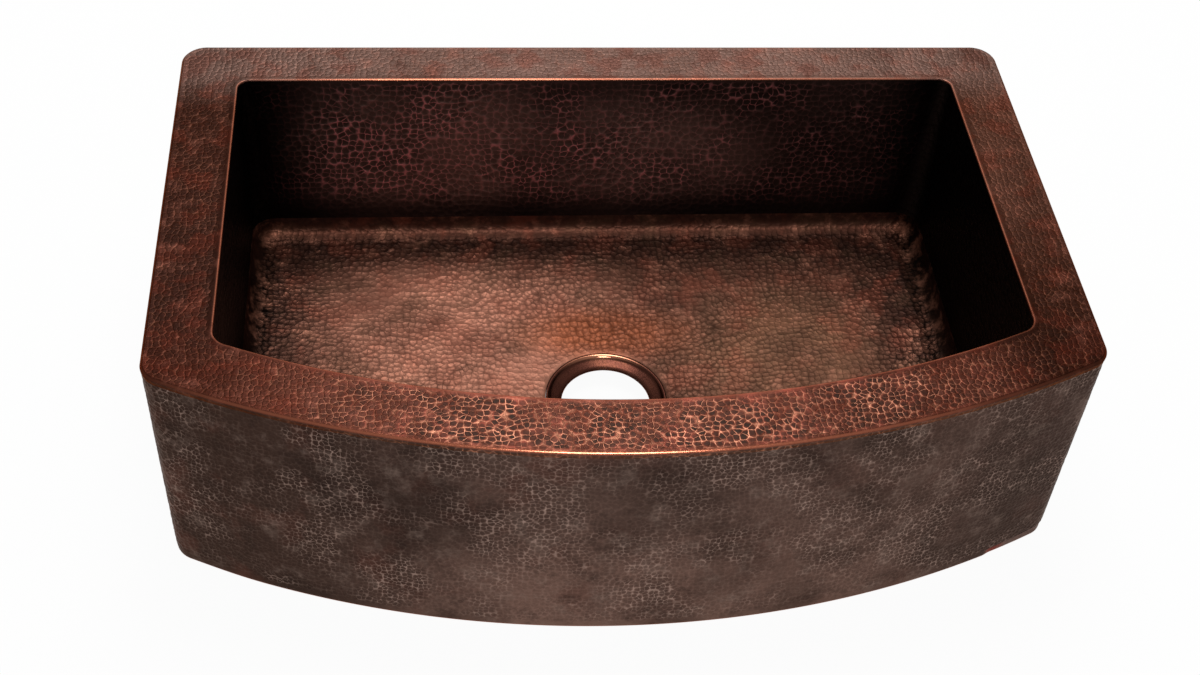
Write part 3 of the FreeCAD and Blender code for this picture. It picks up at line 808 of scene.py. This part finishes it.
def hammer_pattern(wiring, vector, features):
    """The blows' cells, for geometry and for materials alike: one texture per feature."""
    bend = wiring.node("ShaderNodeTexNoise", {"Vector": vector, "Scale": 210.0, "Detail": 1.0})
    bent = wiring.node("ShaderNodeVectorMath", {
        0: bend.outputs["Color"], 1: (WOBBLE * MM,) * 3, 2: vector,
    }, operation="MULTIPLY_ADD")
    made = []
    for feature in features:
        cells = wiring.node("ShaderNodeTexVoronoi", {
            "Vector": bent.outputs[0], "Scale": 1 / (CELL * MM), "Randomness": 0.72,
        }, voronoi_dimensions="2D", feature=feature)
        if feature == "SMOOTH_F1":
            cells.inputs["Smoothness"].default_value = 0.2
        made.append(cells)
    return made


def hammer_nodes():
    """Presses each hammered face in by the same cells as the material draws."""
    tree = bpy.data.node_groups.new("hammering", "GeometryNodeTree")
    for way in ("INPUT", "OUTPUT"):
        tree.interface.new_socket("Geometry", in_out=way, socket_type="NodeSocketGeometry")
    w = Wiring(tree)

    def stored(name, kind):
        made = w.node("GeometryNodeInputNamedAttribute", {"Name": name}, data_type=kind)
        return made.outputs["Attribute"]

    cells, = hammer_pattern(w, stored("hammer", "FLOAT_VECTOR"), ["SMOOTH_F1"])
    depth = w.node("ShaderNodeMapRange", {
        "Value": w.math("POWER", cells.outputs["Distance"], 2.0), "From Min": 0.0,
        "From Max": BLOW_LEVELS, "To Min": DEPTH * MM, "To Max": 0.0,
    })
    amount = w.math("MULTIPLY", depth.outputs["Result"], stored("relief", "FLOAT"))
    inward = stored("inward", "FLOAT_VECTOR")
    push = w.node("ShaderNodeVectorMath", {0: inward, "Scale": amount}, operation="SCALE")
    place = w.node("GeometryNodeSetPosition", {
        "Geometry": w.node("NodeGroupInput").outputs[0], "Offset": push.outputs[0],
    })
    w.node("NodeGroupOutput", {0: place.outputs[0]})
    return tree


def hammered(pieces):
    """Presses the blows into the pieces' meshes for good."""
    tree = hammer_nodes()
    for piece in pieces:
        modifier = piece.modifiers.new("hammering", "NODES")
        modifier.node_group = tree
    bpy.context.view_layer.update()
    graph = bpy.context.evaluated_depsgraph_get()
    for piece in pieces:
        made = bpy.data.meshes.new_from_object(
            piece.evaluated_get(graph), preserve_all_data_layers=True, depsgraph=graph
        )
        piece.modifiers.clear()
        plain = piece.data
        piece.data = made
        made.name = piece.name
        bpy.data.meshes.remove(plain)


# ---------------- materials


def linear(red, green, blue):
    """An sRGB colour, 0 to 255, as the shader wants it."""
    def channel(value):
        share = value / 255
        return share / 12.92 if share <= 0.04045 else ((share + 0.055) / 1.055) ** 2.4

    return channel(red), channel(green), channel(blue), 1.0


class Shader(Wiring):
    """The same for one material."""

    def __init__(self, name):
        self.material = bpy.data.materials.new(name)
        self.material.use_nodes = True
        super().__init__(self.material.node_tree)
        self.surface = self.nodes["Principled BSDF"]

    def coat(self, inputs):
        """Feeds the inputs of the material's surface by name."""
        for key, source in inputs.items():
            self.feed(self.surface.inputs[key], source)

    def stored(self, name, output="Fac"):
        """What the mesh keeps at its points under a name."""
        made = self.node("ShaderNodeAttribute", attribute_type="GEOMETRY", attribute_name=name)
        return made.outputs[output]

    def place(self):
        return self.node("ShaderNodeTexCoord").outputs["Object"]

    def ramp(self, value, low, high, to_low=0.0, to_high=1.0):
        """to_low where the value is low, easing over to to_high where it is high."""
        return self.node("ShaderNodeMapRange", {
            "Value": value, "From Min": low, "From Max": high, "To Min": to_low, "To Max": to_high,
        }, interpolation_type="SMOOTHSTEP").outputs["Result"]

    def mix(self, share, first, second):
        """A blend of two colours, each of them a socket or an sRGB colour from 0 to 255."""
        made = self.node("ShaderNodeMix", {"Factor": share}, data_type="RGBA")
        sockets = [s for s in made.inputs if s.type == "RGBA"]
        for socket, colour in zip(sockets, (first, second)):
            self.feed(socket, linear(*colour) if isinstance(colour, tuple) else colour)
        return [s for s in made.outputs if s.type == "RGBA"][0]

    def noise(self, vector, scale, detail=3.0, roughness=0.55):
        return self.node("ShaderNodeTexNoise", {
            "Vector": vector, "Scale": scale, "Detail": detail, "Roughness": roughness,
        }).outputs["Fac"]

    def axes(self):
        """The place's x, y and z in metres."""
        return self.node("ShaderNodeSeparateXYZ", {0: self.place()}).outputs

    def length(self, vector):
        made = self.node("ShaderNodeVectorMath", {0: vector}, operation="LENGTH")
        return made.outputs["Value"]

    def spot(self, centre, reach, low=0.35):
        """1 round a point of the object, fading to 0 at the given reach along each axis."""
        off = self.node("ShaderNodeVectorMath", {0: self.place(), 1: centre}, operation="SUBTRACT")
        share = self.node("ShaderNodeVectorMath", {0: off.outputs[0], 1: reach}, operation="DIVIDE")
        return self.ramp(self.length(share.outputs[0]), 1.0, low)

    def product(self, *factors):
        total = factors[0]
        for factor in factors[1:]:
            total = self.math("MULTIPLY", total, factor)
        return total


def copper(name, ground, blow, ridge, stain, wear=0.5, hollow=0.6, line=0.06, bump=0.6,
           metallic=0.94, rough=0.42, bare_and_sheen_colour=(206, 122, 92), cloudy=0.25, speckle=0.15,
           spared=0.2, gloss=0.2, rim_light=(226, 178, 156), uneven=0.25, bloom=(150, 110, 94),
           blooming=0.0, joints=0.6):
    """Hammered and darkened copper, in sRGB colours. ground is the patina's, with painted light and
    shade where a function lays them, blow and ridge are those of the dents and of the lines between
    them, polished is bare metal and also the painted sheen and highlights, stain the darkest
    patina and bloom the palest. wear and hollow say how strongly ridges and dents show, spared is
    how much of the ridges shows between patches, line is their width, and joints shows where the
    dents meet. cloudy, blooming and speckle are the shares of stains, smears and specks, uneven
    rumples the sheet between the blows, and rim_light tints what it mirrors at a glance. ground,
    wear, hollow and metallic may be functions of the shader, to change over the object."""
    s = Shader(name)

    def asked(thing):
        return thing(s) if callable(thing) else thing

    vector = s.stored("hammer", "Vector")
    edge, dent, cell = hammer_pattern(s, vector, ["DISTANCE_TO_EDGE", "SMOOTH_F1", "F1"])
    relief, polish_and_sheen, place = s.stored("relief"), s.stored("polish_and_sheen"), s.place()
    cloud = s.noise(place, 8.0, 5.0, 0.6)
    patch = s.noise(place, 17.0, 4.0, 0.6)
    small = s.noise(place, 110.0, 3.0, 0.6)
    grain = s.noise(place, 520.0, 3.0, 0.65)
    # the patina, with its stains and smears
    base = s.mix(s.ramp(cloud, 0.4, 0.68, 0.0, cloudy), asked(ground), stain)
    smear = s.noise(place, 36.0, 6.0, 0.7)
    base = s.mix(s.ramp(smear, 0.5, 0.7, 0.0, blooming), base, bloom)
    base = s.mix(s.ramp(smear, 0.48, 0.34, 0.0, blooming), base, stain)
    # the dents, which differ from blow to blow, and the worn ridges between them
    inside = s.ramp(dent.outputs["Distance"], 0.5, 0.32)
    tint = s.ramp(cell.outputs["Color"], 0.0, 1.0, 0.6, 1.0)
    dark = s.product(inside, relief, asked(hollow), tint, s.ramp(patch, 0.36, 0.54, 0.65, 1.0))
    colour = s.mix(dark, base, blow)
    width = s.ramp(small, 0.35, 0.65, line * 0.5, line * 1.4)
    crack = s.ramp(s.math("DIVIDE", edge.outputs["Distance"], width), 1.0, 0.25)
    joint = s.ramp(dent.outputs["Distance"], 0.52, 0.68, 0.0, joints)
    worn = s.product(
        s.math("MAXIMUM", crack, joint), relief, asked(wear),
        s.ramp(patch, 0.42, 0.6, spared, 1.0), s.ramp(small, 0.34, 0.58, 0.35, 1.0),
    )
    colour = s.mix(worn, colour, ridge)
    # fine specks, and bare metal where the sheet is rubbed, which also paints sheen and highlights
    colour = s.mix(s.ramp(grain, 0.45, 0.75, 0.0, speckle), colour, stain)
    colour = s.mix(polish_and_sheen, colour, bare_and_sheen_colour)
    roughness = s.ramp(grain, 0.2, 0.8, rough - 0.06, rough + 0.08)
    roughness = s.math("SUBTRACT", roughness, s.product(polish_and_sheen, 0.3))
    # the blows' own rounding, a crest along each ridge and the rumpled sheet, then the grain
    crest = s.ramp(edge.outputs["Distance"], 0.16, 0.0, 0.0, 0.12)
    height = s.math("ADD", s.math("POWER", dent.outputs["Distance"], 2.0), crest)
    rumple = s.product(s.noise(place, 150.0, 2.0), uneven)
    height = s.math("ADD", height, rumple)
    first = s.node("ShaderNodeBump", {
        "Strength": bump, "Distance": 1.2 * MM, "Height": s.product(height, relief),
    })
    second = s.node("ShaderNodeBump", {
        "Strength": 0.2, "Distance": 0.3 * MM, "Height": grain, "Normal": first.outputs["Normal"],
    })
    s.coat({
        "Base Color": colour, "Metallic": asked(metallic), "Roughness": roughness,
        "Specular IOR Level": gloss, "Specular Tint": linear(*rim_light),
        "Normal": second.outputs["Normal"],
    })
    return s.material


OUTSIDE = (88, 59, 49)  # the patina where no one looks or scrubs


def rim_patina_and_light(s):
    """The rim's patina with painted light: paler and greyer at the back as a painted sheen, darker
    at the sides as painted shade, red-brown along the front and darkest at its ends.
    """
    x, y, z = s.axes()
    front = s.mix(s.ramp(x, 0.0, 0.3), (92, 51, 40), (80, 41, 31))
    front = s.mix(s.ramp(x, -0.22, -0.4), front, (60, 27, 19))
    front = s.mix(s.ramp(x, 0.27, 0.37), front, (38, 16, 10))
    # the side strips darker: painted shade
    side = s.mix(s.ramp(x, -0.2, 0.2), (54, 30, 24), (84, 54, 44))
    side = s.mix(s.product(s.ramp(y, 0.06, -0.1), s.ramp(x, 0.2, 0.3)), side, (56, 30, 22))
    # the back strip paler and greyer: a painted sheen
    base = s.mix(s.ramp(y, 0.17, 0.24), side, (112, 88, 80))
    ground = s.mix(s.ramp(y, -0.09, -0.18), base, front)
    mottle = s.noise(s.place(), 33.0, 4.0)
    # a pinkish blush on the front, painted lighter where the light falls
    blush = s.product(s.ramp(mottle, 0.48, 0.62, 0.0, 0.5), rim_rubbed_and_lit(s))
    ground = s.mix(blush, ground, (150, 74, 60))
    ground = s.mix(s.ramp(mottle, 0.52, 0.4, 0.0, 0.35), ground, (98, 40, 28))
    # below the nose the edge takes on the apron's colour, its patina with painted shade and light
    return s.mix(s.ramp(z, 0.2462, 0.2448), ground, apron_patina_and_light(s))


def rim_rubbed_and_lit(s):
    """Where the front of the rim is rubbed bright, and where it is painted lighter as the light
    falls on it.
    """
    x, y, _ = s.axes()
    return s.product(
        s.ramp(y, -0.15, -0.2), s.ramp(x, -0.36, -0.12), s.ramp(x, 0.42, 0.1),
    )


def outside(s):
    """1 on the faces that look away from the bowl, where nothing is pressed in."""
    return s.ramp(s.length(s.stored("inward", "Vector")), 0.6, 0.3)


def painted_wall_light(s):
    """Painted light on the back wall: where it is painted lighter, on its left half and in its
    middle.
    """
    left = s.spot((-0.17, 0.2, 0.15), (0.2, 0.3, 0.13))
    middle = s.spot((0.02, 0.2, 0.14), (0.2, 0.3, 0.11))
    return s.math("MAXIMUM", left, middle)


def wall_patina_and_shade(s):
    """Brown on the back wall, lighter under its painted light and darker at its foot, and nearly
    black on the other walls as painted shade.
    """
    x, y, z = s.axes()
    # the side and front walls painted nearly black: painted shade
    off = s.math("MAXIMUM", s.ramp(s.math("ABSOLUTE", x), 0.27, 0.35), s.ramp(y, 0.19, 0.14))
    back = s.mix(painted_wall_light(s), (58, 41, 37), (112, 82, 74))
    back = s.mix(s.ramp(z, 0.11, 0.07, 0.0, 0.7), back, (14, 9, 8))
    return s.mix(outside(s), s.mix(off, back, (4, 3, 3)), OUTSIDE)


def wall_wear_and_light(s):
    """Worn ridges show on the back wall alone, and most under its painted light."""
    x, y, z = s.axes()
    back = s.product(
        s.ramp(s.math("ABSOLUTE", x), 0.36, 0.27), s.ramp(y, 0.14, 0.19), s.ramp(z, 0.07, 0.12),
    )
    return s.product(s.ramp(painted_wall_light(s), 0.0, 1.0, 0.4, 0.9), back)


def floor_middle(s):
    """1 over the floor's middle and 0 towards the cove."""
    x, y, z = s.axes()
    across = s.ramp(s.math("ABSOLUTE", x), 0.345, 0.24)
    return s.product(across, s.ramp(y, 0.2, 0.14), s.ramp(z, 0.044, 0.039))


def floor_patina_and_light(s):
    """The floor's patina with painted light and shade: a pink pool of painted light left of the
    drain, browner to its right, an orange patch behind the drain, and painted shade towards the
    cove and at its ends.
    """
    x, _, _ = s.axes()
    # a pink pool of painted light left of the drain
    glow = s.spot((-0.15, 0.08, 0.03), (0.25, 0.17, 0.3))
    base = s.mix(glow, (96, 62, 49), (192, 130, 107))
    base = s.mix(s.spot((0.19, 0.03, 0.03), (0.15, 0.13, 0.2), 0.2), base, (142, 98, 74))
    # painted shade towards the cove
    base = s.mix(floor_middle(s), (62, 41, 35), base)
    mottle = s.noise(s.place(), 24.0, 4.0)
    base = s.mix(s.ramp(mottle, 0.5, 0.62, 0.0, 0.3), base, (160, 84, 64))
    base = s.mix(s.ramp(mottle, 0.48, 0.36, 0.0, 0.4), base, (88, 68, 52))
    base = s.mix(s.spot((0.0, 0.075, 0.03), (0.12, 0.05, 0.2), 0.2), base, (166, 92, 60))
    # the floor's ends painted nearly black as shade
    base = s.mix(s.ramp(s.math("ABSOLUTE", x), 0.33, 0.345), base, (14, 9, 7))
    return s.mix(outside(s), base, OUTSIDE)


def floor_crease_shade(s):
    """Painted shade in the creases: the dark lines between the dents show most over the floor's
    middle.
    """
    return s.product(s.ramp(floor_middle(s), 0.0, 1.0, 0.3, 1.0), 0.5)


def floor_metal(s):
    """The cove and the floor's ends are barer metal than the middle."""
    return s.ramp(floor_middle(s), 0.0, 1.0, 0.7, 0.4)


def apron_patina_and_light(s):
    """The apron's patina with painted shade and light: dark at both ends of the bow as painted
    shade, paler low in the middle as painted light, with reddish smears on the left.
    """
    x, _, z = s.axes()
    # the bow's ends darker and its lower middle paler: painted shade and light
    base = s.mix(s.ramp(x, -0.38, -0.02), (54, 38, 32), (92, 70, 62))
    base = s.mix(s.ramp(x, 0.2, 0.42), base, (62, 47, 43))
    base = s.mix(s.spot((0.02, -0.27, 0.03), (0.3, 0.3, 0.14)), base, (112, 85, 75))
    mottle = s.noise(s.place(), 15.0, 5.0)
    blush = s.product(s.ramp(mottle, 0.5, 0.66, 0.0, 0.5), s.ramp(x, 0.1, -0.2, 0.4, 1.0))
    base = s.mix(blush, base, (86, 50, 41))
    # the flange's fold at the right corner, bright where it starts
    fold = s.ramp(x, 0.35, 0.356)
    level = s.ramp(x, FOLD_X[0] * MM, FOLD_X[1] * MM, FOLD_START * MM, FOLD_END * MM)
    under = s.math("SUBTRACT", level, z)
    band = s.product(fold, s.ramp(under, 0.0008, 0.0016))
    base = s.mix(band, base, (104, 82, 76))
    base = s.mix(s.product(band, s.ramp(x, 0.378, 0.362)), base, (150, 66, 58))
    # a near-black line along the fold: painted shadow
    off = s.math("ABSOLUTE", under)
    return s.mix(s.product(fold, s.ramp(off, 0.0019, 0.001)), base, (8, 5, 5))


# ---------------- putting it together

rims, walls = rim_pieces(), wall_pieces()
floors, collars = {"bowl_floor": floor_piece()}, {"drain_collar": collar_piece()}
aprons = apron_pieces()
# the collar is spun and the hem folded, so neither is hammered
hammered([
    piece for node, piece in (rims | walls | floors | aprons).items() if node != "apron_bottom_hem"
])

rim_copper = copper(
    "rim_copper", rim_patina_and_light, (42, 33, 29), (218, 148, 118), (38, 24, 20),
    wear=lambda s: s.math("ADD", s.product(rim_rubbed_and_lit(s), 0.75), 0.1),
    hollow=lambda s: s.math("ADD", s.product(rim_rubbed_and_lit(s), 0.75), 0.25),
    line=0.055, cloudy=0.3, spared=0.5, bump=0.8, blooming=0.3, bloom=(150, 92, 76),
)
# on the walls the polish colour is only the painted corner sheen
wall_copper = copper(
    "wall_copper", wall_patina_and_shade, (22, 15, 14), (240, 140, 140), (6, 4, 4), wear=wall_wear_and_light,
    hollow=0.65, line=0.045, bump=1.0, metallic=0.55, cloudy=0.4, gloss=0.1, spared=0.3,
    rim_light=(140, 120, 118), bare_and_sheen_colour=(150, 122, 112),
)
# on the floor the lines between the dents are dark, painted shade in the creases, and the dents a
# little lighter, as painted light
floor_copper = copper(
    "floor_copper", floor_patina_and_light, (176, 116, 94), (44, 27, 22), (66, 42, 34), wear=floor_crease_shade,
    hollow=0.15, line=0.055, bump=0.9, metallic=floor_metal, cloudy=0.45, spared=0.1, uneven=0.9,
    blooming=0.35, bloom=(206, 138, 112), joints=0.3,
)
apron_copper = copper(
    "apron_copper", apron_patina_and_light, (40, 30, 27), (196, 166, 152), (34, 25, 22), wear=0.6,
    hollow=0.4, line=0.042, cloudy=0.7, rim_light=(216, 204, 198), spared=0.12, blooming=0.38,
    bloom=(128, 108, 98),
)
# the collar's polish colour shows only in its painted highlight at the back
collar_copper = copper(
    "collar_copper", (80, 45, 36), (48, 30, 25), (112, 68, 52), (50, 30, 24),
    wear=0.0, hollow=0.0, metallic=0.95, rough=0.27, bare_and_sheen_colour=(212, 142, 110), blooming=0.4,
    bloom=(104, 62, 44),
)
plain_copper = copper(
    "plain_copper", (104, 70, 57), (70, 46, 38), (130, 88, 70), (60, 40, 32),
    wear=0.0, hollow=0.0,
)

for pieces, material in (
    (rims, rim_copper), (walls, wall_copper), (floors, floor_copper), (collars, collar_copper),
    (aprons, apron_copper),
):
    for node, piece in pieces.items():
        piece.data.materials.append(material)
        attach(piece, "root")
        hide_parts(node)

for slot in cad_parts["apron_ties"].material_slots:
    slot.material = plain_copper

# ---------------- stage, light and camera

WHITE = (0.92, 0.92, 0.92, 1.0)
GLOW_SHARE = 0.95  # how white the floor looks to the camera and in the metal
WORLD_STRENGTH = 0.45

# the photograph's camera: millimetres and radians, with its focal length in the photo's pixels
CAMERA_PLACE = (-178.08, -1174.64, 1326.2)
CAMERA_TURNS = (0.1425921405, 0.8022494086, 0.0862581319)  # yaw, pitch and roll
FOCAL_PIXELS = 1731.412
PHOTO_WIDTH_PIXELS = 1200
SENSOR_WIDTH = 36.0


def make_stage():
    """A white floor just under the object, which keeps its shadow."""
    reach = 6.0
    level = cad_box[0][2] - 0.0005
    signs = ((-1, -1), (1, -1), (1, 1), (-1, 1))
    mesh = bpy.data.meshes.new("studio_floor")
    mesh.from_pydata([(reach * x, reach * y, level) for x, y in signs], [], [(0, 1, 2, 3)])
    s = Shader("studio_floor")
    s.coat({"Base Color": WHITE, "Roughness": 0.9, "Specular IOR Level": 0.0})
    # the rays that look for a white backdrop find one, and the light on the floor finds a floor
    paths = s.node("ShaderNodeLightPath").outputs
    seen = s.math("MAXIMUM", paths["Is Camera Ray"], paths["Is Glossy Ray"])
    seen = s.product(s.math("MAXIMUM", seen, paths["Is Transmission Ray"]), GLOW_SHARE)
    glow = s.node("ShaderNodeEmission", {"Strength": 1.0})
    blend = s.node("ShaderNodeMixShader", {0: seen, 1: s.surface.outputs[0], 2: glow.outputs[0]})
    s.feed(s.nodes["Material Output"].inputs["Surface"], blend.outputs[0])
    mesh.materials.append(s.material)
    added("studio_floor", mesh)


def make_world():
    world = bpy.data.worlds.new("studio")
    bpy.context.scene.world = world
    world.use_nodes = True
    background = world.node_tree.nodes["Background"]
    background.inputs["Color"].default_value = (1, 1, 1, 1)
    background.inputs["Strength"].default_value = WORLD_STRENGTH


def lamp(name, place, target, size, power):
    """A rectangular area lamp that looks from its place at a target."""
    data = bpy.data.lights.new(name, "AREA")
    data.shape = "RECTANGLE"
    data.size, data.size_y = size
    data.energy = power
    made = added(name, data)
    made.location = place
    away = made.location - Vector(target)
    made.rotation_euler = away.to_track_quat("Z", "Y").to_euler()


def make_camera():
    """The photograph's camera, as the edges of the sink in it give it."""
    (sy, cy), (sp, cp), (sr, cr) = [(math.sin(turn), math.cos(turn)) for turn in CAMERA_TURNS]
    forward = np.array([sy * cp, cy * cp, -sp])
    level = np.array([cy, -sy, 0.0])
    upright = np.cross(level, forward)
    matrix = np.eye(4)
    matrix[:3, 0] = cr * level + sr * upright
    matrix[:3, 1] = -sr * level + cr * upright
    matrix[:3, 2] = -forward
    matrix[:3, 3] = np.array(CAMERA_PLACE) * MM
    data = bpy.data.cameras.new("camera")
    data.sensor_width = SENSOR_WIDTH
    data.sensor_fit = "HORIZONTAL"
    data.lens = FOCAL_PIXELS / PHOTO_WIDTH_PIXELS * SENSOR_WIDTH
    camera = added("camera", data)
    camera.matrix_world = Matrix(matrix.tolist())
    bpy.context.scene.camera = camera


make_stage()
make_world()
lamp("softbox", (0.25, 2.0, 2.1), (0, 0, 0.25), (1.7, 1.8), 20.0)
lamp("overhead", (0.0, 0.55, 2.2), (0, 0, 0.1), (0.7, 0.9), 17.0)
lamp("front", (0.12, -2.2, 2.0), (0, 0, 0.2), (0.8, 0.5), 14.0)
make_camera()
bpy.context.scene.view_settings.view_transform = "Standard"
